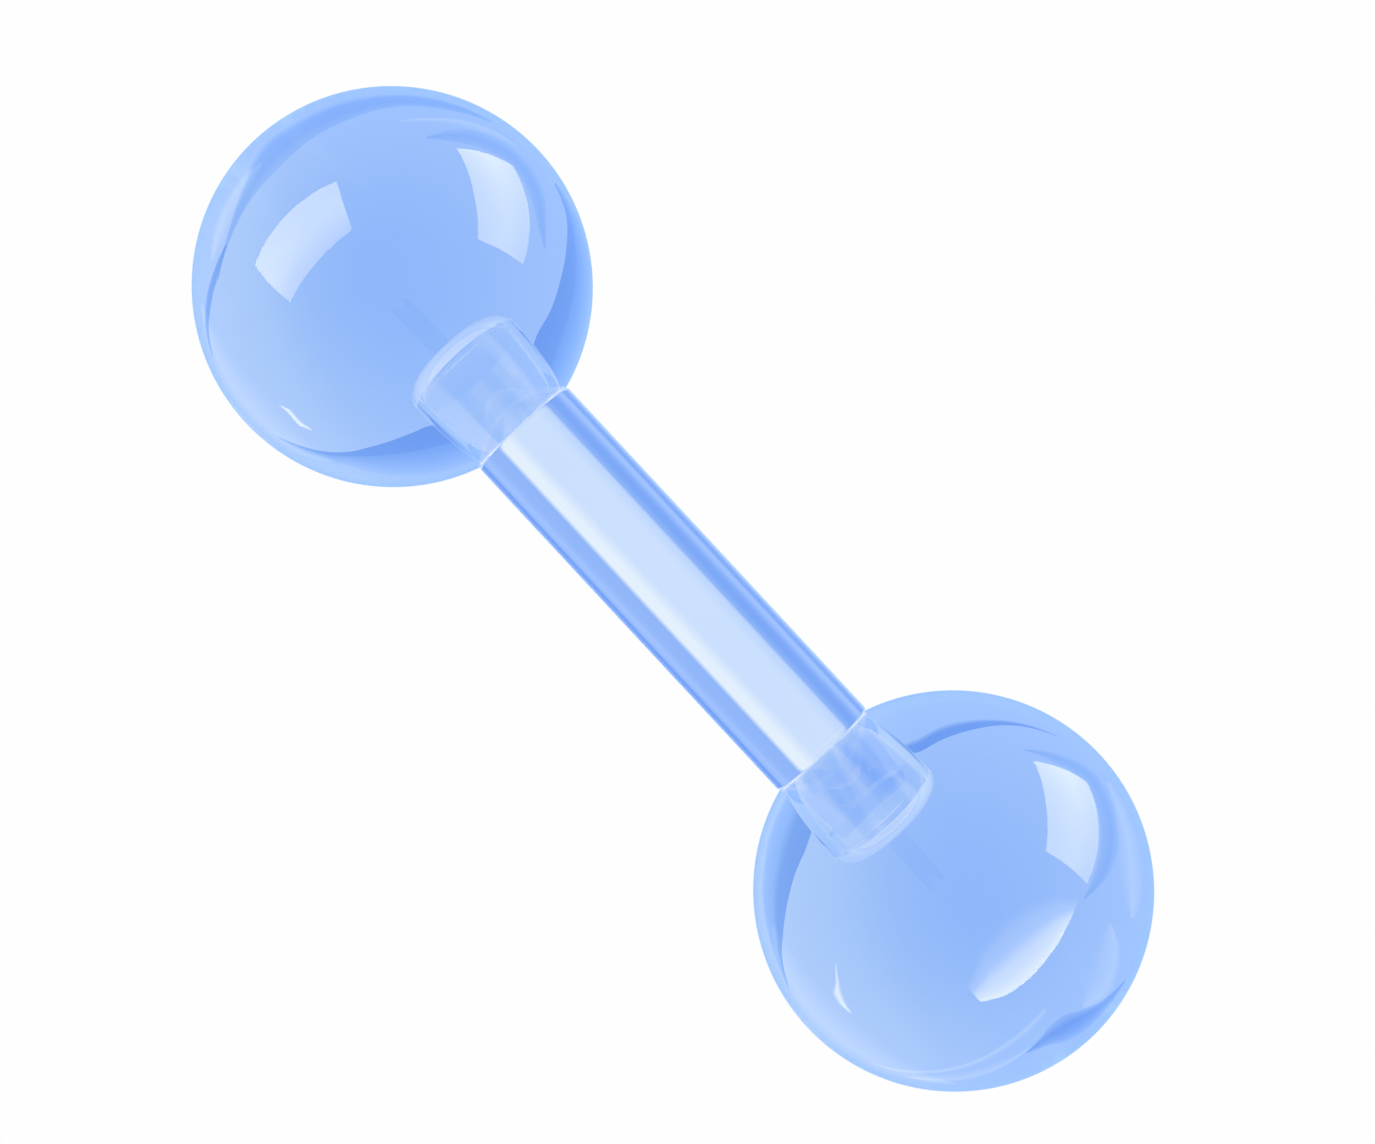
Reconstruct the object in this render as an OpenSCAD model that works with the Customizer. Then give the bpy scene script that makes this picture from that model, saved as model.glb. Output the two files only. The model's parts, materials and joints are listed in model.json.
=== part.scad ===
// Straight barbell for a cartilage piercing: a clear round bar with a push-on ball at each end.
// Millimetres. The bar lies along X on its two balls, which touch the ground plane at Z = 0.

/* [Bar] */
// Diameter of the bar where it passes through the piercing
bar_d = 1.2; // [1:0.1:1.6]
// Length of the bar between the two balls
bar_len = 4.4; // [3:0.1:12]

/* [Balls] */
// Diameter of each ball
ball_d = 4; // [3:0.5:6]

/* [Push fit] */
// Diameter of the stub at each end, as a share of the bar's
stub_share = 0.73; // [0.5:0.01:0.8]
// Radial gap between a stub and its bore
bore_gap = 0.02; // [0.02:0.01:0.08]
// Depth of the blind bore, from the ball's flat seat
bore_depth = 1.3; // [1:0.02:1.6]
// Air pocket left between the stub's tip and the bottom of the bore
tip_gap = 0.08; // [0.04:0.02:0.3]
// Gap between the bar's shoulder and the ball's seat
seat_gap = 0.01; // [0.005:0.005:0.03]

/* [Edges] */
// Rounding of the bar's shoulders
shoulder_r = 0.03; // [0.01:0.01:0.06]
// Rounding of the stub's tips
tip_r = 0.1; // [0.05:0.01:0.12]
// Rounding at the bottom of the bores
bore_bottom_r = 0.14; // [0.05:0.01:0.15]

/* [Hidden] */

// Facets of every round shape
$fn = 48;
// How far a cut starts outside the ball, so that it opens cleanly
cut_over = 1;

stub_d = bar_d * stub_share;
stub_len = bore_depth + seat_gap - tip_gap;
bore_d = stub_d + 2 * bore_gap;

// The flat seat is as wide as the bar, and this far from the ball's centre
seat_h = sqrt(pow(ball_d / 2, 2) - pow(bar_d / 2, 2));
// Distance from the middle of the bar to a ball's centre
ball_x = bar_len / 2 + seat_gap + seat_h;
// The balls rest on the ground plane, and the bar's axis is level with their centres
axis_z = ball_d / 2;
// Each ball is turned by half a facet about the bar, so that it stands on a facet and doesn't roll off an edge
ball_turn = 180 / $fn;

clear_blue = "#9BBDFB";
pale_blue = "#CCE0FF";

// A round rod that stands on the origin, with its far edge rounded
module blunt_rod(length, diameter, edge_r) {
    r = diameter / 2;
    rotate_extrude() {
        square([r, length - edge_r]);
        square([r - edge_r, length]);
        translate([r - edge_r, length - edge_r]) circle(r = edge_r);
    }
}

// Half of the bar, from its middle out along +Z: the full-width shaft, and the stub that runs on inside the ball
module half_bar() {
    blunt_rod(bar_len / 2, bar_d, shoulder_r);
    blunt_rod(bar_len / 2 + stub_len, stub_d, tip_r);
}

// A ball around the origin, with its flat seat and its bore open towards +Z
module bored_ball() {
    difference() {
        sphere(d = ball_d);
        translate([0, 0, seat_h]) cylinder(h = cut_over, d = ball_d);
        translate([0, 0, seat_h + cut_over]) mirror([0, 0, 1])
            blunt_rod(bore_depth + cut_over, bore_d, bore_bottom_r);
    }
}

module bar() {
    color(pale_blue) translate([0, 0, axis_z]) {
        rotate([0, 90, 0]) half_bar();
        rotate([0, -90, 0]) half_bar();
    }
}

module ball_right() {
    color(clear_blue) translate([ball_x, 0, axis_z]) rotate([0, -90, 0]) rotate([0, 0, ball_turn])
        bored_ball();
}

module ball_left() {
    mirror([1, 0, 0]) ball_right();
}

bar();
ball_left();
ball_right();
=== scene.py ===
"""A clear pale-blue acrylic barbell for a cartilage piercing, lying on a backlit white table.

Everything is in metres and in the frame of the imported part: +X along the bar from the left ball to the
right ball, +Z up, and the table at Z = 0.
"""

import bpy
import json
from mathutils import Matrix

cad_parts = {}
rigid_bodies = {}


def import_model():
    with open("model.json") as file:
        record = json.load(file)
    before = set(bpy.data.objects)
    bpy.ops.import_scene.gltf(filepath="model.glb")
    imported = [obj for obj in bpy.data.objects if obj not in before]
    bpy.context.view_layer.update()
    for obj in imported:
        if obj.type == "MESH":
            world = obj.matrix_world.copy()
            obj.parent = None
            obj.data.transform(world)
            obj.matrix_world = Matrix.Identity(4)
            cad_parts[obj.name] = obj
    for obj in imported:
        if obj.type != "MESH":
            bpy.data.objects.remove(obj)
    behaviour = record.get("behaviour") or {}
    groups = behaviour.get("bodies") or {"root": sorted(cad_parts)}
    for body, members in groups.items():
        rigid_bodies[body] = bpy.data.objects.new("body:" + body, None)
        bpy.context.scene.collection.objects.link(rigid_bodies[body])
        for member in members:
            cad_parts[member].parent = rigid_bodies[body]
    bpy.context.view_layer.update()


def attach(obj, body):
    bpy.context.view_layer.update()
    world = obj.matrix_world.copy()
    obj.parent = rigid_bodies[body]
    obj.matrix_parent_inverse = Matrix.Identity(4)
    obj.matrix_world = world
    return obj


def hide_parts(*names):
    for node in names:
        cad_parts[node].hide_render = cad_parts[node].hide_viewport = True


bl_info = {
    "name": "Acrylic Barbell",
    "version": (1, 0, 0),
    "blender": (4, 5, 0),
    "location": "3D View > Sidebar > Barbell",
    "description": "Builds a clear acrylic barbell and the light table that it lies on",
    "category": "Add Mesh",
}

import json
import math

import bmesh
import bpy
from bpy.props import FloatProperty, FloatVectorProperty, IntProperty, PointerProperty
from mathutils import Vector

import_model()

MM = 0.001
# The balls' highest point is one ball diameter above the table, so the bar's axis is at half of it
AXIS_Z = 2 * MM
# Roundings: the bar's shoulders, the stubs' tips, the balls' seats and the bottoms of the bores
SHOULDER_ROUNDING, TIP_ROUNDING = 0.03 * MM, 0.1 * MM
SEAT_ROUNDING, BOTTOM_ROUNDING = 0.02 * MM, 0.14 * MM
# Radius within which a stub's tip is flat, and within which a bore's bottom is clear of drill marks
TIP_FLAT, DRILL_CENTRE = 0.33 * MM, 0.2 * MM
# Refractive index of acrylic in air, against the wet film in the push fit, and where the film is squeezed
ACRYLIC, FILMED, PRESSED = 1.49, 1.12, 1.02
# How white the bores' marks glow, as painted light: the most on their rubbed walls, and the least and most on
# their drilled bottoms
RUBBED_GLOW, DRILLED_GLOW = 0.22, (0.22, 0.58)
# Surfaces that light goes through on its way across a ball (2), and across its push fit too (4 or more)
FIT_DEPTH = 3.5
# Reflections inside the acrylic after which light counts as caught, and the even painted glow that stands in
# for it
CAUGHT_AFTER, CAUGHT_PAINTED_GLOW = 2, (1.7, 1.4, 1.03)


def linear(code, alpha=1.0):
    """The linear colour of an sRGB hex code."""
    parts = [int(code[i : i + 2], 16) / 255 for i in (1, 3, 5)]
    return (*[c / 12.92 if c <= 0.04045 else ((c + 0.055) / 1.055) ** 2.4 for c in parts], alpha)


# Settings that a user would change


class BarbellSizes(bpy.types.PropertyGroup):
    bar_diameter: FloatProperty(
        name="Bar diameter",
        description="Width of the bar between the balls",
        default=1.2 * MM,
        unit="LENGTH",
        precision=5,
    )
    bar_length: FloatProperty(
        name="Bar length",
        description="Length of the bar between the balls",
        default=4.4 * MM,
        unit="LENGTH",
        precision=5,
    )
    stub_diameter: FloatProperty(
        name="Stub diameter",
        description="Width of the stub inside each ball",
        default=0.876 * MM,
        unit="LENGTH",
        precision=5,
    )
    stub_length: FloatProperty(
        name="Stub length",
        description="Length of the stub from the bar's shoulder",
        default=1.23 * MM,
        unit="LENGTH",
        precision=5,
    )
    ball_diameter: FloatProperty(
        name="Ball diameter",
        description="Width of each ball",
        default=4.0 * MM,
        unit="LENGTH",
        precision=5,
    )
    bore_diameter: FloatProperty(
        name="Bore diameter",
        description="Width of the blind hole in each ball",
        default=0.916 * MM,
        unit="LENGTH",
        precision=5,
    )
    bore_depth: FloatProperty(
        name="Bore depth",
        description="Depth of the hole from the ball's flat seat",
        default=1.3 * MM,
        unit="LENGTH",
        precision=5,
    )
    seat_gap: FloatProperty(
        name="Seat gap",
        description="Gap between the bar's shoulder and the seat",
        default=0.01 * MM,
        unit="LENGTH",
        precision=5,
    )
    facets: IntProperty(
        name="Facets",
        description="Facets round each turned surface",
        default=192,
        min=24,
        max=256,
    )


class BarbellFinish(bpy.types.PropertyGroup):
    ball_tint: FloatVectorProperty(
        name="Ball tint",
        description="Colour that the balls' dye lets through",
        subtype="COLOR",
        default=linear("#27B0FE")[:3],
    )
    ball_density: FloatProperty(
        name="Ball dye",
        description="Strength of the balls' dye, per metre",
        default=320.0,
        min=0.0,
    )
    bar_tint: FloatVectorProperty(
        name="Bar tint",
        description="Colour that the bar's dye lets through",
        subtype="COLOR",
        default=linear("#27B0FE")[:3],
    )
    bar_density: FloatProperty(
        name="Bar dye",
        description="Strength of the bar's dye, per metre",
        default=320.0,
        min=0.0,
    )
    ripple: FloatProperty(
        name="Polishing ripple",
        description="Height of the slow waves left by tumbling",
        default=0.0008 * MM,
        unit="LENGTH",
        precision=7,
    )


class BarbellStage(bpy.types.PropertyGroup):
    table_colour: FloatVectorProperty(
        name="Table",
        description="Colour of the lit table",
        subtype="COLOR",
        default=linear("#FEFEFE")[:3],
    )
    table_size: FloatProperty(
        name="Table size",
        description="Width of the table",
        default=0.6,
        unit="LENGTH",
    )
    surround_light: FloatProperty(
        name="Surroundings",
        description="Brightness of what shows through the acrylic",
        default=1.0,
    )
    box_light: FloatProperty(name="Softboxes", description="Brightness of the softboxes", default=6.5)
    camera_height: FloatProperty(
        name="Camera height",
        description="Camera height above the bar's axis",
        default=40 * MM,
        unit="LENGTH",
    )


# Materials


def add_node(tree, kind, inputs=None, **settings):
    """Adds a node: settings are its own properties, inputs are values or the sockets to link in."""
    node = tree.nodes.new(kind)
    for key, value in settings.items():
        setattr(node, key, value)
    for key, value in (inputs or {}).items():
        if isinstance(value, bpy.types.NodeSocket):
            tree.links.new(value, node.inputs[key])
        else:
            node.inputs[key].default_value = value
    return node


def set_stops(node, stops, interpolation="LINEAR"):
    """Gives a colour ramp its (position, colour) stops."""
    ramp = node.color_ramp
    ramp.interpolation = interpolation
    while len(ramp.elements) > 1:
        ramp.elements.remove(ramp.elements[-1])
    ramp.elements[0].position, ramp.elements[0].color = stops[0][0], (*stops[0][1], 1)
    for position, colour in stops[1:]:
        ramp.elements.new(position).color = (*colour, 1)


def new_material(name):
    """An empty material with its node tree."""
    material = bpy.data.materials.new(name)
    material.use_nodes = True
    material.node_tree.nodes.clear()
    return material


def tumbled_acrylic(name, tint, density, ripple, stub):
    """Acrylic (PMMA) rod and balls, dyed through and tumble-polished.

    The dye is in the body, so colour deepens with thickness: this is the volume absorption. Tumbling
    leaves the surface glossy, with waves about 1 mm long that only bend what is seen through it, and a
    faint unevenness in the gloss. The bores were drilled, so they show pale streaks and a pale bottom
    under the clear surface: the frosted marks are real, and the white light they scatter is a painted glow.
    """
    material = new_material(name)
    tree = material.node_tree
    place = add_node(tree, "ShaderNodeTexCoord").outputs["Object"]
    # Tumbling waves, 0.9 to a millimetre
    waves = add_node(
        tree, "ShaderNodeTexNoise", {"Vector": place, "Scale": 0.9 / MM, "Detail": 1.0, "Roughness": 0.4}
    )
    bump = add_node(tree, "ShaderNodeBump", {"Height": waves.outputs["Fac"], "Distance": ripple})
    # Patches of slightly duller polish, about 0.3 mm wide
    patches = add_node(tree, "ShaderNodeTexNoise", {"Vector": place, "Scale": 3.3 / MM, "Detail": 3.0})
    polish = add_node(
        tree,
        "ShaderNodeMapRange",
        {"Value": patches.outputs["Fac"], "From Min": 0.35, "From Max": 0.75, "To Min": 0.0, "To Max": 0.02},
    )
    # Dye never mixes in quite evenly: the surface colour wanders between clear and a trace of blue, over
    # about 2 mm
    swirl = add_node(tree, "ShaderNodeTexNoise", {"Vector": place, "Scale": 0.5 / MM, "Detail": 2.0})
    trace = add_node(tree, "ShaderNodeValToRGB", {"Fac": swirl.outputs["Fac"]})
    set_stops(trace, [(0.3, linear("#FFFFFF")[:3]), (0.7, linear("#FAFCFF")[:3])])
    surface = add_node(
        tree,
        "ShaderNodeBsdfPrincipled",
        {
            "Base Color": trace.outputs["Color"],
            "Roughness": polish.outputs["Result"],
            "Transmission Weight": 1.0,
            "Normal": bump.outputs["Normal"],
        },
    )
    # Free surfaces bend light as acrylic does. The film in a push fit leaves those inside much weaker.
    surface.inputs["IOR"].default_value = ACRYLIC
    index = add_node(tree, "ShaderNodeAttribute", attribute_name="index").outputs["Fac"]
    if stub:
        # Light meets a covered stub after it has passed the ball, and a bare one at once
        depth = add_node(tree, "ShaderNodeLightPath").outputs["Transmission Depth"]
        fitted = add_node(tree, "ShaderNodeMath", {0: depth, 1: 1.5}, operation="GREATER_THAN").outputs[0]
    else:
        # A ball that has moved from its seat is off its stub
        moved = add_node(tree, "ShaderNodeObjectInfo").outputs["Location"]
        moved = add_node(tree, "ShaderNodeVectorMath", {0: moved}, operation="LENGTH").outputs["Value"]
        fitted = add_node(tree, "ShaderNodeMath", {0: moved, 1: 1 * MM}, operation="LESS_THAN").outputs[0]
    bend = add_node(tree, "ShaderNodeMix", {0: fitted, 2: ACRYLIC, 3: index})
    tree.links.new(bend.outputs[0], surface.inputs["IOR"])
    # The bores are rubbed in streaks where the stubs went in, about 0.24 mm wide and 2.2 mm long, and rough
    # from the drill at the bottom. Both scatter a little white light from the tent, which is painted on as a
    # white glow.
    drawn = add_node(tree, "ShaderNodeMapping", {"Vector": place, "Scale": (0.45 / MM, 4.2 / MM, 4.2 / MM)})
    streaks = add_node(
        tree, "ShaderNodeTexNoise", {"Vector": drawn.outputs["Vector"], "Scale": 1.0, "Detail": 1.0}
    )
    rubbed = add_node(
        tree,
        "ShaderNodeMapRange",
        {"Value": streaks.outputs["Fac"], "From Min": 0.52, "From Max": 0.62, "To Max": RUBBED_GLOW},
    )
    drilled = add_node(
        tree,
        "ShaderNodeMapRange",
        {
            "Value": swirl.outputs["Fac"],
            "From Min": 0.35,
            "From Max": 0.65,
            "To Min": DRILLED_GLOW[0],
            "To Max": DRILLED_GLOW[1],
        },
    )
    marks = add_node(tree, "ShaderNodeAttribute", attribute_name="marks").outputs["Vector"]
    white = add_node(
        tree, "ShaderNodeCombineXYZ", {"X": rubbed.outputs["Result"], "Y": drilled.outputs["Result"]}
    )
    scuff_glow_amount = add_node(
        tree, "ShaderNodeVectorMath", {0: marks, 1: white.outputs["Vector"]}, operation="DOT_PRODUCT"
    ).outputs["Value"]
    # Painted light: the marked faces glow white, in place of the light their frosting scatters
    scuff_glow = add_node(tree, "ShaderNodeEmission", {"Color": (1, 1, 1, 1), "Strength": 1.0}).outputs["Emission"]
    scuffs_with_glow = add_node(tree, "ShaderNodeMixShader", {0: scuff_glow_amount, 1: surface.outputs["BSDF"], 2: scuff_glow})
    # Light caught inside would only darken on its way round: past a few reflections the acrylic shows an even
    # painted glow in its place
    depth = add_node(tree, "ShaderNodeLightPath").outputs["Glossy Depth"]
    caught = add_node(
        tree, "ShaderNodeMath", {0: depth, 1: CAUGHT_AFTER - 0.5}, operation="GREATER_THAN"
    ).outputs[0]
    glow = add_node(tree, "ShaderNodeEmission", {"Color": (*CAUGHT_PAINTED_GLOW, 1), "Strength": 1.0})
    surface = add_node(
        tree, "ShaderNodeMixShader", {0: caught, 1: scuffs_with_glow.outputs["Shader"], 2: glow.outputs["Emission"]}
    )
    body = add_node(tree, "ShaderNodeVolumeAbsorption", {"Color": (*tint, 1), "Density": density})
    add_node(
        tree,
        "ShaderNodeOutputMaterial",
        {"Surface": surface.outputs["Shader"], "Volume": body.outputs["Volume"]},
    )
    return material


def opal_light_table(name, colour):
    """Opal acrylic sheet lit from below: even white, with a painted contact shadow that makes it a little
    dimmer right under a ball.
    """
    material = new_material(name)
    tree = material.node_tree
    # Painted contact shadow: where a piece is near, the table's white fades towards pale blue-grey
    contact_occlusion = add_node(tree, "ShaderNodeAmbientOcclusion", {"Distance": 0.6 * MM}, samples=8)
    shade = add_node(tree, "ShaderNodeValToRGB", {"Fac": contact_occlusion.outputs["AO"]})
    set_stops(shade, [(0.0, linear("#C9D8F2")[:3]), (1.0, colour)], "EASE")
    light = add_node(tree, "ShaderNodeEmission", {"Color": shade.outputs["Color"], "Strength": 1.0})
    add_node(tree, "ShaderNodeOutputMaterial", {"Surface": light.outputs["Emission"]})
    return material


# Shapes


def rounded(corners, steps=6):
    """A line through (x, radius, rounding) corners, with each rounding drawn as an arc."""
    line = []
    for i, (x, radius, rounding) in enumerate(corners):
        corner = Vector((x, radius))
        if not rounding:
            line.append(corner)
            continue
        back = (Vector(corners[i - 1][:2]) - corner).normalized()
        on = (Vector(corners[i + 1][:2]) - corner).normalized()
        half = back.angle(on) / 2
        centre = corner + (back + on).normalized() * rounding / math.sin(half)
        start = (corner + back * rounding / math.tan(half) - centre).normalized()
        end = (corner + on * rounding / math.tan(half) - centre).normalized()
        line += [centre + start.slerp(end, k / steps) * rounding for k in range(steps + 1)]
    return line


def turned(name, profile, sizes, material):
    """A closed solid turned about the bar's axis. The profile runs from the axis out and back to it."""
    facets = sizes.facets
    solid = bmesh.new()
    spokes = [(math.cos(2 * math.pi * k / facets), math.sin(2 * math.pi * k / facets)) for k in range(facets)]
    rings = []
    for x, radius in profile:
        if radius < 1e-8:
            rings.append([solid.verts.new((x, 0, AXIS_Z))])
        else:
            rings.append([solid.verts.new((x, radius * c, AXIS_Z + radius * s)) for c, s in spokes])
    for near, far in zip(rings, rings[1:]):
        for k in range(facets):
            n = (k + 1) % facets
            corners = [near[k % len(near)], near[n % len(near)], far[n % len(far)], far[k % len(far)]]
            solid.faces.new(list(dict.fromkeys(corners)))
    bmesh.ops.recalc_face_normals(solid, faces=solid.faces)
    mesh = bpy.data.meshes.new(name)
    solid.to_mesh(mesh)
    solid.free()
    mesh.shade_smooth()
    mesh.set_sharp_from_angle(angle=math.radians(30))
    index = mesh.attributes.new("index", "FLOAT", "FACE").data
    marks = mesh.attributes.new("marks", "FLOAT_VECTOR", "FACE").data
    for k, face in enumerate(mesh.polygons):
        x, y, z = face.center
        place = abs(x), math.hypot(y, z - AXIS_Z), z - AXIS_Z
        index[k].value = index_of(sizes, *place)
        marks[k].vector = marks_of(sizes, *place)
    mesh.materials.append(material)
    piece = bpy.data.objects.new(name, mesh)
    bpy.context.scene.collection.objects.link(piece)
    return piece


def index_of(s, along, radius, height):
    """Refractive index for a face of the bar or a ball, from its place along, round and above the bar's
    axis.

    The stubs are pushed in wet. A film fills the fit, so the faces there bend light only a little. At the
    tip the film is pressed out from the flat and from the lower side of the rounding, and air is left
    over the upper one.
    """
    shoulder = s.bar_length / 2
    inside = shoulder - 0.001 * MM < along < shoulder + s.bore_depth + 0.03 * MM
    if not inside or radius > s.bar_diameter / 2 - SHOULDER_ROUNDING:
        return ACRYLIC
    if along < shoulder + s.stub_length - TIP_ROUNDING:
        return FILMED
    return ACRYLIC if height > 0 and radius > TIP_FLAT else PRESSED


def marks_of(s, along, radius, height):
    """How much a face of a bore is rubbed, on its wall, and drilled, on the upper half of its bottom: these
    faces get the painted white glow.
    """
    seat, bore = s.bar_length / 2 + s.seat_gap, s.bore_diameter / 2
    inside = seat + SEAT_ROUNDING < along < seat + s.bore_depth + 0.01 * MM
    if not inside or radius > bore + 0.005 * MM:
        return 0, 0, 0
    if along < seat + s.bore_depth - BOTTOM_ROUNDING:
        return radius > bore - 0.01 * MM, 0, 0
    return 0, radius > DRILL_CENTRE and height > 0, 0


def bar_profile(s):
    """The bar from its left tip to its right one: stub, shoulder, shaft, shoulder, stub."""
    shaft, stub = s.bar_diameter / 2, s.stub_diameter / 2
    shoulder, tip = s.bar_length / 2, s.bar_length / 2 + s.stub_length
    half = [
        (tip, 0, 0),
        (tip, stub, TIP_ROUNDING),
        (shoulder, stub, 0),
        (shoulder, shaft, SHOULDER_ROUNDING),
    ]
    return rounded([(-x, r, edge) for x, r, edge in half] + half[::-1])


def ball_profile(s, side):
    """A ball, on side -1 or 1, from its far pole over the sphere to its seat and down its bore."""
    radius, bore = s.ball_diameter / 2, s.bore_diameter / 2
    seat = math.sqrt(radius**2 - (s.bar_diameter / 2) ** 2)
    centre = s.bar_length / 2 + s.seat_gap + seat
    rim = math.asin(s.bar_diameter / 2 / radius)
    count = s.facets // 2
    # The sphere stops just short of the seat, whose edge is rounded
    turns = [math.pi + (rim + 0.02 - math.pi) * k / count for k in range(count + 1)]
    sphere = [Vector((radius * math.cos(t), radius * math.sin(t))) for t in turns]
    bottom = seat - s.bore_depth
    inner = rounded(
        [
            (sphere[-1].x, sphere[-1].y, 0),
            (seat, s.bar_diameter / 2, SEAT_ROUNDING),
            (seat, bore, 0.015 * MM),
            (bottom, bore, BOTTOM_ROUNDING),
            (bottom, 0, 0),
        ]
    )
    line = sphere + inner[1:]
    line[0].y = 0
    return [(side * (centre - p.x), p.y) for p in line]


def ball_centre(s, side):
    """The centre of the ball on side -1 or 1."""
    seat = math.sqrt((s.ball_diameter / 2) ** 2 - (s.bar_diameter / 2) ** 2)
    return Vector((side * (s.bar_length / 2 + s.seat_gap + seat), 0, AXIS_Z))


# Stage


def surroundings(light):
    """A light tent: bright cloth below, warmer and brighter at the back, where a window and a low strip
    light are.

    This is what shows through the acrylic. Polished surfaces reflect a dim blue room instead, which keeps
    their edges blue, and the camera itself sees the table's own white.
    """
    world = bpy.data.worlds.new("light_tent")
    world.use_nodes = True
    tree = world.node_tree
    tree.nodes.clear()
    way = add_node(tree, "ShaderNodeTexCoord").outputs["Generated"]
    axes = add_node(tree, "ShaderNodeSeparateXYZ", {"Vector": way}).outputs

    # Cloth, by how far a direction leans from straight down
    down = add_node(tree, "ShaderNodeMath", {0: axes["Z"], 1: -1.0}, operation="MULTIPLY").outputs[0]
    lean = add_node(tree, "ShaderNodeMath", {0: down}, operation="ARCCOSINE").outputs[0]
    share = add_node(tree, "ShaderNodeMath", {0: lean, 1: math.pi}, operation="DIVIDE").outputs[0]
    cloth = add_node(tree, "ShaderNodeValToRGB", {"Fac": share})
    set_stops(
        cloth,
        [
            (0 / 180, (0.985, 0.985, 0.945)),
            (25 / 180, (1.04, 1.02, 0.955)),
            (45 / 180, (1.02, 1.01, 0.965)),
            (60 / 180, (1.02, 1.02, 0.97)),
            (70 / 180, (1.12, 1.09, 0.99)),
            (80 / 180, (1.15, 1.11, 0.99)),
            (90 / 180, (0.90, 0.95, 0.99)),
            (115 / 180, (0.90, 0.95, 0.98)),
            (180 / 180, (0.90, 0.95, 1.00)),
        ],
    )

    # Glow of the window on the cloth at the back
    back = add_node(tree, "ShaderNodeVectorMath", {0: way, 1: (0.5, 1, 0)}, operation="DOT_PRODUCT")
    glow = add_node(tree, "ShaderNodeValToRGB", {"Fac": back.outputs["Value"]})
    set_stops(
        glow,
        [
            (0.0, (1, 1, 1)),
            (0.25, (1.08, 1.04, 0.99)),
            (0.45, (1.20, 1.11, 0.985)),
            (1.0, (1.30, 1.16, 0.985)),
        ],
    )

    # Strip light low at the back, which only the walls of the bores show
    strip = add_node(tree, "ShaderNodeValToRGB", {"Fac": axes["Y"]})
    set_stops(strip, [(0.955, (1, 1, 1)), (0.985, (1.6, 1.35, 1.02))])

    seen = cloth.outputs["Color"]
    for layer in (glow, strip):
        mix = add_node(tree, "ShaderNodeMix", data_type="RGBA", blend_type="MULTIPLY")
        mix.inputs[0].default_value = 1.0
        tree.links.new(seen, mix.inputs[6])
        tree.links.new(layer.outputs["Color"], mix.inputs[7])
        seen = mix.outputs[2]
    tent = add_node(tree, "ShaderNodeBackground", {"Color": seen, "Strength": light})
    room = add_node(tree, "ShaderNodeBackground", {"Color": (0.42, 0.68, 1.4, 1), "Strength": light})
    plain = add_node(tree, "ShaderNodeBackground", {"Color": linear("#FEFEFE"), "Strength": 1.0})
    ray = add_node(tree, "ShaderNodeLightPath").outputs
    shown = add_node(
        tree,
        "ShaderNodeMixShader",
        {0: ray["Is Transmission Ray"], 1: room.outputs["Background"], 2: tent.outputs["Background"]},
    )
    shown = add_node(
        tree,
        "ShaderNodeMixShader",
        {0: ray["Is Camera Ray"], 1: shown.outputs["Shader"], 2: plain.outputs["Background"]},
    )
    add_node(tree, "ShaderNodeOutputWorld", {"Surface": shown.outputs["Shader"]})
    bpy.context.scene.world = world


def see_only(piece, *rays):
    """Shows a stage piece only to these kinds of ray."""
    for kind in ("camera", "diffuse", "glossy", "transmission", "volume_scatter", "shadow"):
        setattr(piece, "visible_" + kind, kind in rays)


def sheet(name, rows, material):
    """A stage sheet through rows of points. Its UVs run from the first row to the last and along the rows."""
    count = len(rows[0])
    mesh = bpy.data.meshes.new(name)
    faces = [
        (first + k, first + k + 1, first + count + k + 1, first + count + k)
        for first in range(0, count * (len(rows) - 1), count)
        for k in range(count - 1)
    ]
    mesh.from_pydata([tuple(p) for row in rows for p in row], [], faces)
    uv = mesh.uv_layers.new(name="sheet")
    for loop, corner in zip(uv.data, mesh.loops):
        row, place = divmod(corner.vertex_index, count)
        loop.uv = (row / (len(rows) - 1), place / (count - 1))
    mesh.materials.append(material)
    piece = bpy.data.objects.new(name, mesh)
    bpy.context.scene.collection.objects.link(piece)
    return piece


def domed(centre, near, far, steps=10):
    """Rows of points on a dome round a ball's centre, between two rows of corners given as directions."""
    rows = []
    for i in range(steps + 1):
        line = [Vector(a).lerp(Vector(b), i / steps) for a, b in zip(near, far)]
        ways = [a.lerp(b, k / steps) for a, b in zip(line, line[1:]) for k in range(steps)] + [line[-1]]
        rows.append([centre + way.normalized() * SOFTBOX_DISTANCE for way in ways])
    return rows


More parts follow.
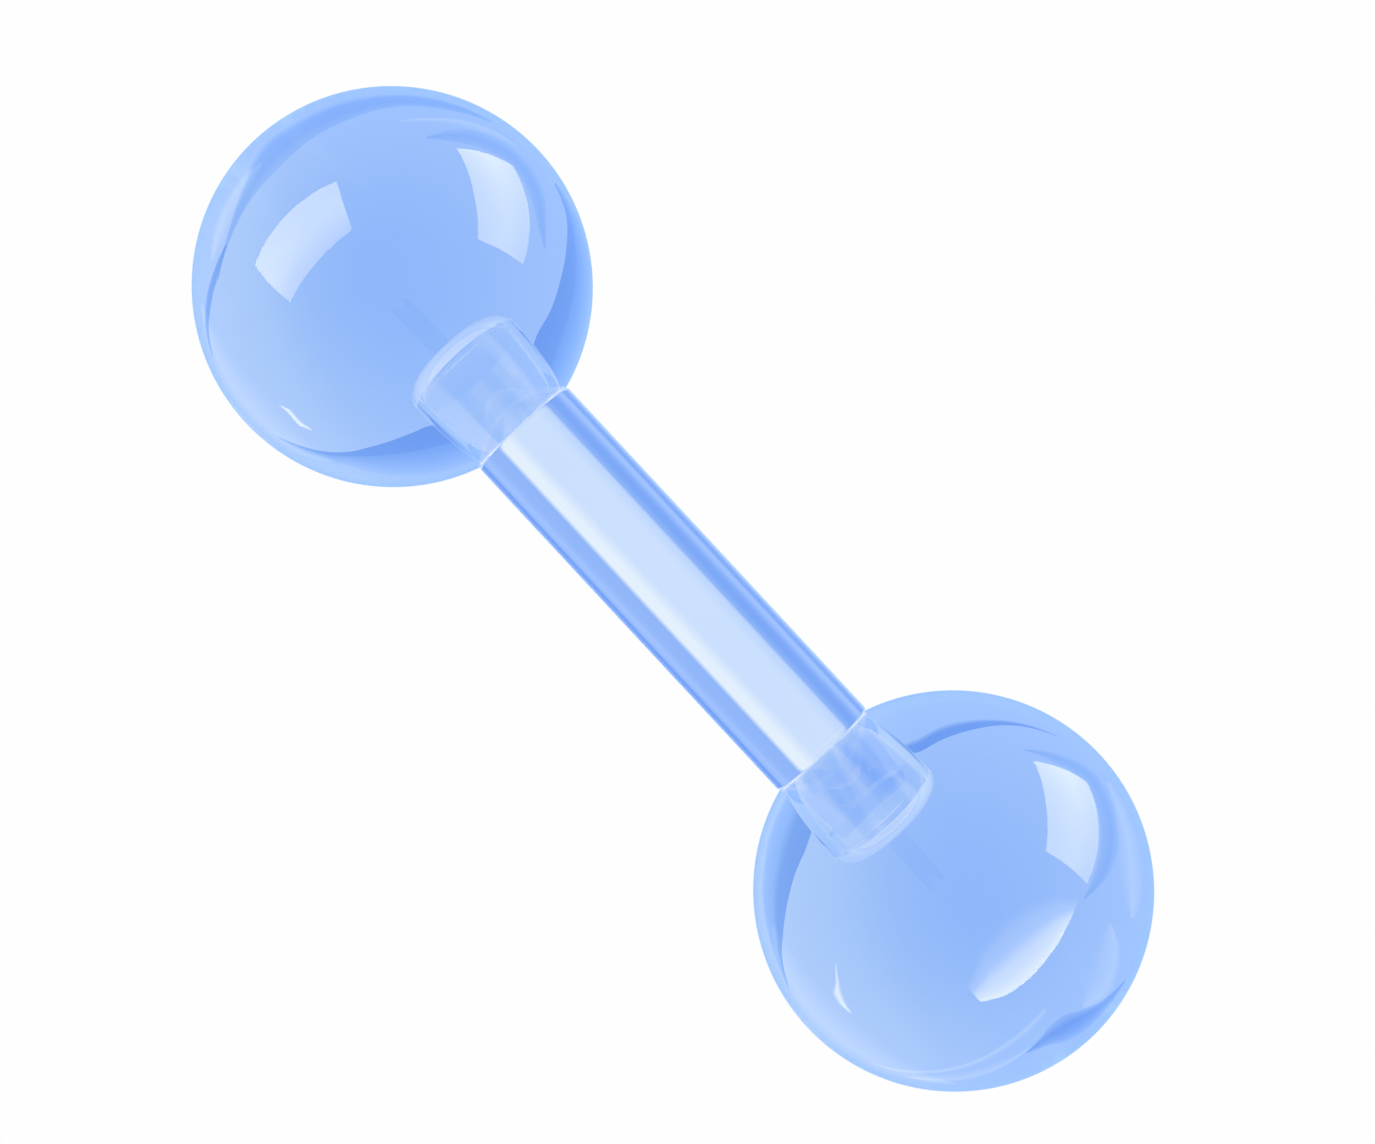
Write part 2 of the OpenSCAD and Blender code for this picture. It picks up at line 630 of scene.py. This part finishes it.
def painted_band_card(name, light):
    """Card under the bar, lit from behind and seen only through the bar: painted light and shade, a white
    stripe and a cream one between bands of blue, which the round bar shows as light and dark bands of its
    own.

    The stops are places across the card, in millimetres, and the painted colour there.
    """
    material = new_material(name)
    tree = material.node_tree
    place = add_node(tree, "ShaderNodeTexCoord").outputs["Object"]
    y = add_node(tree, "ShaderNodeSeparateXYZ", {"Vector": place}).outputs["Y"]
    reach = 3.0 * MM
    share = add_node(tree, "ShaderNodeMapRange", {"Value": y, "From Min": -reach, "From Max": reach})
    ramp = add_node(tree, "ShaderNodeValToRGB", {"Fac": share.outputs["Result"]})
    navy, deep_blue, blue, sky, pale_sky, milk, white, cream = (
        linear(code)[:3]
        for code in (
            "#4B8BE7", "#7FAAF0", "#8BB3F4", "#A6C5F7", "#B6D0FC", "#DFEBFC", "#F5F9FC", "#FFF9EB",
        )
    )
    # Painted light: the cream stripe is made brighter than the paper, as if lit by the window at the back
    cream = tuple(1.17 * c for c in cream)
    stops = [
        (-3.0, pale_sky), (-2.1, deep_blue), (-1.42, deep_blue), (-1.12, pale_sky), (-0.95, pale_sky),
        (-0.64, blue), (-0.5, blue), (-0.37, sky), (-0.34, milk), (-0.18, white), (0.07, white),
        (0.18, cream), (0.285, cream), (0.345, sky), (0.62, sky), (0.93, pale_sky), (1.26, sky),
        (1.65, navy), (3.0, navy),
    ]
    set_stops(ramp, [((p * MM + reach) / (2 * reach), c) for p, c in stops])
    shine = add_node(tree, "ShaderNodeEmission", {"Color": ramp.outputs["Color"], "Strength": light})
    add_node(tree, "ShaderNodeOutputMaterial", {"Surface": shine.outputs["Emission"]})
    return material


def softbox_cloth(name, light, stops):
    """Warm diffusion cloth on a softbox: stops give its brightness from the near row to the far one.

    It lets other light through, so that softboxes meant for different balls don't hide each other. A snoot
    keeps its light to the side of the ball that faces it, so that it doesn't whiten the ball's outline.
    """
    material = new_material(name)
    tree = material.node_tree
    place = add_node(tree, "ShaderNodeTexCoord").outputs["UV"]
    across = add_node(tree, "ShaderNodeSeparateXYZ", {"Vector": place}).outputs["X"]
    ramp = add_node(tree, "ShaderNodeValToRGB", {"Fac": across})
    set_stops(ramp, [(p, (v, 0.82 * v, 0.35 * v)) for p, v in stops], "EASE")
    reach = add_node(tree, "ShaderNodeLightPath").outputs["Ray Length"]
    near, far = (SOFTBOX_DISTANCE - depth for depth in SNOOT)
    snoot = add_node(
        tree,
        "ShaderNodeMapRange",
        {"Value": reach, "From Min": near, "From Max": far, "To Min": light, "To Max": 0.0},
    )
    shine = add_node(
        tree, "ShaderNodeEmission", {"Color": ramp.outputs["Color"], "Strength": snoot.outputs["Result"]}
    )
    through = add_node(tree, "ShaderNodeBsdfTransparent")
    both = add_node(tree, "ShaderNodeAddShader", {0: shine.outputs["Emission"], 1: through.outputs["BSDF"]})
    add_node(tree, "ShaderNodeOutputMaterial", {"Surface": both.outputs["Shader"]})
    return material


# Each softbox: the ball that it lights, its two rows of corners as directions from that ball, and its
# brightness from the first row to the second
SOFTBOXES = {
    "left_box": (
        -1,
        [(-0.549, 0.093, 0.831), (-0.439, -0.712, 0.549)],
        [(-0.874, 0.246, 0.420), (-0.772, -0.613, 0.170)],
        [(0.0, 0.7), (0.5, 1.05), (1.0, 0.9)],
    ),
    "window_for_left": (
        -1,
        [(-0.390, 0.918, -0.073), (-0.080, 0.956, 0.282), (0.248, 0.811, 0.530)],
        [(-0.083, 0.914, -0.397), (0.282, 0.950, -0.132), (0.550, 0.827, 0.119)],
        [(0.0, 0.85), (0.5, 0.95), (1.0, 0.62)],
    ),
    "window_for_right": (
        1,
        [(-0.246, 0.960, -0.132), (-0.028, 0.972, 0.232), (0.238, 0.800, 0.551)],
        [(0.110, 0.900, -0.422), (0.347, 0.923, -0.167), (0.616, 0.757, 0.218)],
        [(0.0, 0.9), (0.5, 0.95), (1.0, 0.62)],
    ),
    "end_box": (
        1,
        [
            (0.610, -0.471, 0.638),
            (0.441, -0.172, 0.881),
            (0.398, 0.151, 0.905),
            (0.442, 0.424, 0.791),
            (0.532, 0.607, 0.591),
            (0.663, 0.675, 0.323),
        ],
        [
            (0.760, -0.449, 0.471),
            (0.845, -0.288, 0.452),
            (0.884, -0.082, 0.461),
            (0.871, 0.152, 0.466),
            (0.832, 0.337, 0.441),
            (0.772, 0.484, 0.412),
        ],
        [(0.0, 0.0), (0.35, 0.3), (0.7, 1.1), (1.0, 1.6)],
    ),
    "glint_for_left": (
        -1,
        [(0.023, -0.962, -0.273), (0.096, -0.973, -0.210), (0.193, -0.943, -0.271), (0.260, -0.917, -0.304)],
        [(0.026, -0.958, -0.285), (0.089, -0.949, -0.302), (0.171, -0.911, -0.374), (0.254, -0.911, -0.325)],
        [(0.0, 0.0), (0.5, 0.9), (1.0, 0.0)],
    ),
    "glint_for_right": (
        1,
        [
            (-0.201, -0.975, 0.092), (-0.077, -0.997, -0.004), (0.009, -0.998, -0.063),
            (0.076, -0.989, -0.129), (0.146, -0.972, -0.186),
        ],
        [
            (-0.198, -0.978, 0.074), (-0.082, -0.995, -0.058), (-0.021, -0.977, -0.214),
            (0.060, -0.969, -0.241), (0.147, -0.967, -0.208),
        ],
        [(0.0, 0.0), (0.5, 0.9), (1.0, 0.0)],
    ),
}
# Distance from a softbox to the ball's centre, and how much nearer than that centre the ball's surface is
# where the snoot starts to cut the light and where it has cut it all
SOFTBOX_DISTANCE, SNOOT = 80 * MM, (1.0 * MM, 0.6 * MM)


def shade_and_light_gel(name, stops, fits):
    """Filter gel of painted shade and light, seen only through a ball: stops give the light that comes
    through it from its inner edge to its outer one.

    Light that also crossed a push fit goes through more surfaces. Gels for the fits tint only that light,
    and the others only the rest.
    """
    material = new_material(name)
    tree = material.node_tree
    place = add_node(tree, "ShaderNodeTexCoord").outputs["UV"]
    across = add_node(tree, "ShaderNodeSeparateXYZ", {"Vector": place}).outputs["X"]
    tint = add_node(tree, "ShaderNodeValToRGB", {"Fac": across})
    set_stops(tint, stops)
    depth = add_node(tree, "ShaderNodeLightPath").outputs["Transmission Depth"]
    side = "GREATER_THAN" if fits else "LESS_THAN"
    meant = add_node(tree, "ShaderNodeMath", {0: depth, 1: FIT_DEPTH}, operation=side).outputs[0]
    shown = add_node(tree, "ShaderNodeMix", data_type="RGBA")
    tree.links.new(meant, shown.inputs[0])
    shown.inputs[6].default_value = (1, 1, 1, 1)
    tree.links.new(tint.outputs["Color"], shown.inputs[7])
    through = add_node(tree, "ShaderNodeBsdfTransparent", {"Color": shown.outputs[2]})
    add_node(tree, "ShaderNodeOutputMaterial", {"Surface": through.outputs["BSDF"]})
    return material


def between(rows, steps=6):
    """Fills in a smooth curve through rows of numbers."""
    filled = []
    for k in range(len(rows) - 1):
        a, b, c, d = (rows[min(max(k + j, 0), len(rows) - 1)] for j in (-1, 0, 1, 2))
        for i in range(steps):
            t = i / steps
            row = []
            for p, q, r, s in zip(a, b, c, d):
                bend, twist = 2 * p - 5 * q + 4 * r - s, 3 * q - p - 3 * r + s
                row.append(0.5 * (2 * q + (r - p) * t + bend * t**2 + twist * t**3))
            filled.append(row)
    return filled + [list(rows[-1])]


# Tints of the gels, painted shade from the deepest to clear
DEEP, STRONG, MIDDLE, MILD, SOFT, FAINT, TRACE, CLEAR = (
    linear(code)[:3]
    for code in (
        "#AFCBF2", "#BFD8F7", "#CEE2FA", "#DBEAFC", "#E6F1FD", "#EFF6FD", "#F6FAFE", "#FFFFFF",
    )
)
# Painted light: gel tints brighter than clear, which make the pale streaks and rim glows
PAINTED_LIGHT, PAINTED_PALE = (1.16, 1.09, 1.01), (1.28, 1.16, 1.01)
# Tints of the gels for the fits, painted shade
FIT_DEEP, FIT_MILD, FIT_TRACE = (linear(code)[:3] for code in ("#DFECFF", "#EDF5FF", "#F7FAFF"))
# Painted shade: the faint straight darker band past each stub's tip, with its rows and stops, as for the gels
# below
AXIS_SHADE_BAND = (
    [
        (-30, 0.08, 0.10), (-20, 0.08, 0.15), (-12, 0.08, 0.25), (-8, 0.08, 0.37), (-3, 0.08, 0.41),
        (3, 0.08, 0.41), (8, 0.08, 0.37), (12, 0.08, 0.25), (20, 0.08, 0.15), (30, 0.08, 0.10),
    ],
    [(0.0, CLEAR), (0.2, TRACE), (1.0, TRACE)],
)
# Gels under each ball, seen only through it, which it shows as painted shade and painted light: dark
# crescents
# and pale streaks near its rim. Columns: the ball, (bearing, inner share, outer share) rows as the camera
# sees them, in degrees round the ball from the shaft and in shares of its radius, and the light that comes
# through from the inner edge to the outer one. The gels for the fits are those whose names start with fit.
GELS = {
    "shaft_gel_1": (
        -1,
        [
            (-12, 0.74, 0.965), (-20, 0.72, 0.96), (-28, 0.713, 0.955), (-33, 0.725, 0.95),
            (-40, 0.75, 0.94), (-50, 0.80, 0.93), (-57, 0.845, 0.92), (-66, 0.89, 0.935),
            (-80, 0.94, 0.945),
        ],
        [(0.0, DEEP), (0.27, DEEP), (0.3, STRONG), (0.6, MILD), (1.0, TRACE)],
    ),
    "shaft_gel_2": (
        -1,
        [
            (12, 0.78, 0.99), (20, 0.765, 0.99), (27.5, 0.76, 0.985), (32, 0.765, 0.985),
            (40, 0.80, 0.985), (50, 0.84, 0.99), (60, 0.89, 0.99), (70, 0.94, 0.985), (80, 0.96, 0.97),
        ],
        [(0.0, DEEP), (0.28, DEEP), (0.36, STRONG), (0.6, MIDDLE), (0.85, MILD), (1.0, TRACE)],
    ),
    "window_gel_1": (
        -1,
        [
            (62, 0.785, 0.79), (70, 0.79, 0.835), (80, 0.825, 0.895), (92, 0.855, 0.92),
            (104, 0.83, 0.905), (114, 0.79, 0.86), (124, 0.765, 0.775),
        ],
        [(0.0, FAINT), (0.45, MILD), (1.0, TRACE)],
    ),
    "far_gel_1": (
        -1,
        [
            (106, 0.96, 0.965), (120, 0.925, 0.965), (135, 0.90, 0.96), (150, 0.865, 0.955),
            (165, 0.84, 0.95), (180, 0.82, 0.95), (194, 0.825, 0.89), (210, 0.84, 0.86),
            (224, 0.865, 0.87),
        ],
        [(0.0, SOFT), (0.3, MIDDLE), (0.7, MIDDLE), (1.0, TRACE)],
    ),
    "far_gel_2": (
        -1,
        [
            (212, 0.85, 0.855), (222, 0.865, 0.895), (228, 0.89, 0.92), (234, 0.915, 0.94),
            (240, 0.94, 0.955), (248, 0.96, 0.963),
        ],
        [(0.0, STRONG), (0.5, DEEP), (1.0, MIDDLE)],
    ),
    "shaft_gel_3": (
        1,
        [
            (18, 0.71, 0.765), (27.5, 0.715, 0.775), (32, 0.72, 0.785), (40, 0.76, 0.825),
            (50, 0.81, 0.86), (60, 0.865, 0.89), (68, 0.90, 0.912), (77, 0.93, 0.933),
        ],
        [(0.0, DEEP), (0.6, DEEP), (1.0, FAINT)],
    ),
    "shaft_gel_4": (
        1,
        [
            (-12, 0.78, 0.96), (-20, 0.765, 0.96), (-27.5, 0.762, 0.96), (-32, 0.765, 0.96),
            (-40, 0.79, 0.955), (-50, 0.825, 0.955), (-60, 0.87, 0.95), (-68, 0.915, 0.95),
            (-78, 0.955, 0.958),
        ],
        [(0.0, DEEP), (0.3, DEEP), (0.5, MIDDLE), (0.85, MILD), (1.0, TRACE)],
    ),
    "window_gel_2": (
        1,
        [
            (70, 0.79, 0.795), (80, 0.815, 0.86), (92, 0.855, 0.92), (104, 0.83, 0.91),
            (116, 0.77, 0.865), (126, 0.71, 0.79), (135, 0.655, 0.67),
        ],
        [(0.0, FAINT), (0.5, MILD), (1.0, TRACE)],
    ),
    "axis_gel_1": (-1, *AXIS_SHADE_BAND),
    "axis_gel_2": (1, *AXIS_SHADE_BAND),
    "rim_glow_1": (
        1,
        [
            (-58, 0.90, 0.925), (-68, 0.86, 0.955), (-80, 0.82, 0.97), (-92, 0.80, 0.975),
            (-104, 0.81, 0.975), (-116, 0.85, 0.975), (-128, 0.91, 0.97), (-138, 0.95, 0.965),
        ],
        [(0.0, CLEAR), (0.35, PAINTED_LIGHT), (0.6, PAINTED_PALE), (0.8, PAINTED_LIGHT), (1.0, CLEAR)],
    ),
    "pale_streak_1": (
        1,
        [
            (-176, 0.735, 0.76), (-166, 0.76, 0.80), (-156, 0.795, 0.835), (-146, 0.84, 0.87),
            (-134, 0.885, 0.91), (-120, 0.93, 0.945), (-110, 0.955, 0.957),
        ],
        [(0.0, CLEAR), (0.4, PAINTED_PALE), (0.6, PAINTED_LIGHT), (1.0, CLEAR)],
    ),
    "pale_streak_2": (
        1,
        [
            (-164, 0.86, 0.87), (-154, 0.87, 0.91), (-144, 0.89, 0.94), (-132, 0.92, 0.955),
            (-122, 0.955, 0.96),
        ],
        [(0.0, CLEAR), (0.4, PAINTED_LIGHT), (0.7, PAINTED_PALE), (1.0, CLEAR)],
    ),
    "rim_glow_2": (
        1,
        [
            (98, 0.935, 0.955), (108, 0.885, 0.96), (118, 0.845, 0.96), (126, 0.83, 0.955),
            (134, 0.85, 0.945), (141, 0.89, 0.92),
        ],
        [(0.0, CLEAR), (0.4, PAINTED_PALE), (0.7, PAINTED_LIGHT), (1.0, CLEAR)],
    ),
    "rim_glow_3": (
        1,
        [(144, 0.79, 0.81), (151, 0.765, 0.88), (159, 0.77, 0.92), (167, 0.80, 0.93), (174, 0.85, 0.88)],
        [(0.0, CLEAR), (0.35, PAINTED_LIGHT), (0.7, PAINTED_PALE), (1.0, CLEAR)],
    ),
    "rim_glow_4": (
        -1,
        [
            (-62, 0.91, 0.93), (-72, 0.87, 0.96), (-84, 0.835, 0.97), (-96, 0.83, 0.975),
            (-108, 0.86, 0.975), (-118, 0.90, 0.97), (-128, 0.945, 0.96),
        ],
        [(0.0, CLEAR), (0.35, PAINTED_LIGHT), (0.6, PAINTED_PALE), (0.8, PAINTED_LIGHT), (1.0, CLEAR)],
    ),
    "pale_streak_3": (
        -1,
        [
            (-177, 0.885, 0.90), (-170, 0.86, 0.93), (-160, 0.85, 0.94), (-151, 0.865, 0.935),
            (-142, 0.90, 0.915),
        ],
        [(0.0, CLEAR), (0.3, PAINTED_LIGHT), (0.6, PAINTED_PALE), (1.0, CLEAR)],
    ),
    "pale_streak_4": (
        -1,
        [(96, 0.935, 0.94), (104, 0.90, 0.935), (114, 0.87, 0.91), (124, 0.845, 0.87), (134, 0.825, 0.835)],
        [(0.0, CLEAR), (0.4, PAINTED_LIGHT), (0.7, PAINTED_PALE), (1.0, CLEAR)],
    ),
    "fit_gel_1": (
        1,
        [(-27, 0.56, 0.90), (-14, 0.46, 0.93), (0, 0.43, 0.94), (14, 0.46, 0.93), (27, 0.56, 0.90)],
        [(0.0, FIT_MILD), (0.3, FIT_DEEP), (0.75, FIT_DEEP), (1.0, FIT_TRACE)],
    ),
    "fit_gel_2": (
        1,
        [
            (2.7, 0.861, 0.861), (6.5, 0.554, 0.866), (10.3, 0.559, 0.874), (14.1, 0.567, 0.887),
            (18.0, 0.578, 0.713), (21.8, 0.592, 0.592),
        ],
        [(0.0, FIT_TRACE), (0.3, FIT_MILD), (0.7, FIT_MILD), (1.0, FIT_TRACE)],
    ),
    "far_gel_3": (
        1,
        [
            (160, 0.96, 0.965), (170, 0.91, 0.96), (175, 0.87, 0.955), (180, 0.83, 0.95),
            (186, 0.825, 0.93), (191, 0.845, 0.90), (198, 0.88, 0.885),
        ],
        [(0.0, SOFT), (0.3, DEEP), (0.6, STRONG), (1.0, SOFT)],
    ),
}
GEL_DISTANCE = 2.4 * MM


def gel_rows(s, stage, side, rows):
    """The two edges of a gel, as points round the ball's lowest point as the camera sees it.

    A ball bends the light that meets it at a share of its radius by twice (way in less way on inside),
    and lets it out on the same side, at twice the way on inside less the way in from its lowest point.
    The camera is close, so the light fans out a little on its way to the ball.
    """
    centre = ball_centre(s, side)
    sight = (centre - Vector((0, 0, centre.z + stage.camera_height))).normalized()
    right = (Vector((1, 0, 0)) - sight * sight.x).normalized()
    up = right.cross(sight)
    radius = s.ball_diameter / 2
    edges = [], []
    for bearing, *shares in between(rows):
        turn = math.radians(bearing if side < 0 else 180 - bearing)
        out = right * math.cos(turn) + up * math.sin(turn)
        for edge, share in zip(edges, shares):
            way_in, way_on = math.asin(share), math.asin(share / ACRYLIC)
            fan = share * radius / stage.camera_height
            place, lean = 2 * way_on - way_in + fan, 2 * (way_in - way_on) - fan
            exit_point = Vector((math.sin(place) * radius, (math.cos(place) - 1) * radius))
            course = Vector((-math.sin(lean), math.cos(lean)))
            across = exit_point.dot(course)
            reach = math.sqrt(across**2 - exit_point.length_squared + GEL_DISTANCE**2) - across
            spot = exit_point + course * reach
            edge.append(centre + sight * (radius + spot.y) + out * spot.x)
    return edges


class BARBELL_OT_stage(bpy.types.Operator):
    """Build the light table, the tent, the softboxes and the camera"""

    bl_idname = "barbell.stage"
    bl_label = "Stage"

    def execute(self, context):
        sizes, stage = context.scene.barbell_sizes, context.scene.barbell_stage
        half = stage.table_size / 2
        table = sheet(
            "light_table",
            [[(-half, -half, 0), (-half, half, 0)], [(half, -half, 0), (half, half, 0)]],
            opal_light_table("opal_light_table", tuple(stage.table_colour)),
        )
        see_only(table, "camera", "diffuse")
        end, wide, height = sizes.bar_length / 2 - 0.05 * MM, 7 * MM, 0.3 * MM
        # A card of painted light and shade under the bar, which only light through the bar meets
        card = sheet(
            "card_under_bar",
            [[(-end, -wide, height), (-end, wide, height)], [(end, -wide, height), (end, wide, height)]],
            painted_band_card("painted_band_card", stage.surround_light),
        )
        see_only(card, "transmission")
        surroundings(stage.surround_light)
        for name, (side, near, far, stops) in SOFTBOXES.items():
            centre = ball_centre(sizes, side)
            cloth = softbox_cloth(name + "_cloth", stage.box_light, stops)
            box = sheet(name, domed(centre, near, far), cloth)
            see_only(box, "glossy")
            # A softbox lights only its own ball, and moves with it
            ball = bpy.data.objects["ball_clear_left" if side < 0 else "ball_clear_right"]
            box.parent = ball
            lit = bpy.data.collections.new("lit_by_" + name)
            lit.objects.link(ball)
            box.light_linking.receiver_collection = lit
        # Gels of painted shade and light under the balls, which only light through a ball meets
        for name, (side, rows, stops) in GELS.items():
            film = shade_and_light_gel(name + "_film", stops, name.startswith("fit"))
            gel = sheet(name, gel_rows(sizes, stage, side, rows), film)
            see_only(gel, "transmission")
        camera = bpy.data.cameras.new("camera")
        camera.lens, camera.sensor_width = 104.64, 36.0
        camera.clip_start, camera.clip_end = 1 * MM, 10.0
        eye = bpy.data.objects.new("camera", camera)
        # Straight above the part, turned so that the bar runs from the upper left to the lower right
        eye.location = (-0.024 * MM, 0.2204 * MM, AXIS_Z + stage.camera_height)
        eye.rotation_euler = (0, 0, math.radians(47.11))
        context.scene.collection.objects.link(eye)
        context.scene.camera = eye
        context.scene.view_settings.view_transform = "Standard"
        # Light passes up to ten surfaces on its way through a ball, its stub and what lies behind
        cycles = context.scene.cycles
        cycles.max_bounces, cycles.transmission_bounces, cycles.glossy_bounces = 24, 24, 12
        return {"FINISHED"}


class BARBELL_OT_bar(bpy.types.Operator):
    """Turn the bar with its two stubs"""

    bl_idname = "barbell.bar"
    bl_label = "Bar"

    def execute(self, context):
        sizes, finish = context.scene.barbell_sizes, context.scene.barbell_finish
        dye = finish.bar_tint, finish.bar_density
        acrylic = tumbled_acrylic("bar_tumbled_acrylic", *dye, finish.ripple, stub=True)
        bar = turned("bar_clear", bar_profile(sizes), sizes, acrylic)
        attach(bar, "bar")
        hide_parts("bar")
        return {"FINISHED"}


class BARBELL_OT_balls(bpy.types.Operator):
    """Turn the two push-on balls with their blind bores"""

    bl_idname = "barbell.balls"
    bl_label = "Balls"

    def execute(self, context):
        sizes, finish = context.scene.barbell_sizes, context.scene.barbell_finish
        dye = finish.ball_tint, finish.ball_density
        acrylic = tumbled_acrylic("ball_tumbled_acrylic", *dye, finish.ripple, stub=False)
        for body, side in (("left", -1), ("right", 1)):
            ball = turned("ball_clear_" + body, ball_profile(sizes, side), sizes, acrylic)
            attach(ball, "ball_" + body)
            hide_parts("ball_" + body)
        return {"FINISHED"}


class BARBELL_PT_sidebar(bpy.types.Panel):
    bl_label = "Acrylic Barbell"
    bl_idname = "BARBELL_PT_sidebar"
    bl_space_type = "VIEW_3D"
    bl_region_type = "UI"
    bl_category = "Barbell"

    def draw(self, context):
        for group in ("barbell_sizes", "barbell_finish", "barbell_stage"):
            box = self.layout.box()
            settings = getattr(context.scene, group)
            for name in settings.__annotations__:
                box.prop(settings, name)
        for operator in ("barbell.bar", "barbell.balls", "barbell.stage"):
            self.layout.operator(operator)


CLASSES = (
    BarbellSizes,
    BarbellFinish,
    BarbellStage,
    BARBELL_OT_bar,
    BARBELL_OT_balls,
    BARBELL_OT_stage,
    BARBELL_PT_sidebar,
)


def register():
    for item in CLASSES:
        bpy.utils.register_class(item)
    bpy.types.Scene.barbell_sizes = PointerProperty(type=BarbellSizes)
    bpy.types.Scene.barbell_finish = PointerProperty(type=BarbellFinish)
    bpy.types.Scene.barbell_stage = PointerProperty(type=BarbellStage)


def unregister():
    for name in ("barbell_sizes", "barbell_finish", "barbell_stage"):
        delattr(bpy.types.Scene, name)
    for item in reversed(CLASSES):
        bpy.utils.unregister_class(item)


def main():
    register()
    bpy.ops.barbell.bar()
    bpy.ops.barbell.balls()
    bpy.ops.barbell.stage()


if __name__ == "__main__":
    main()
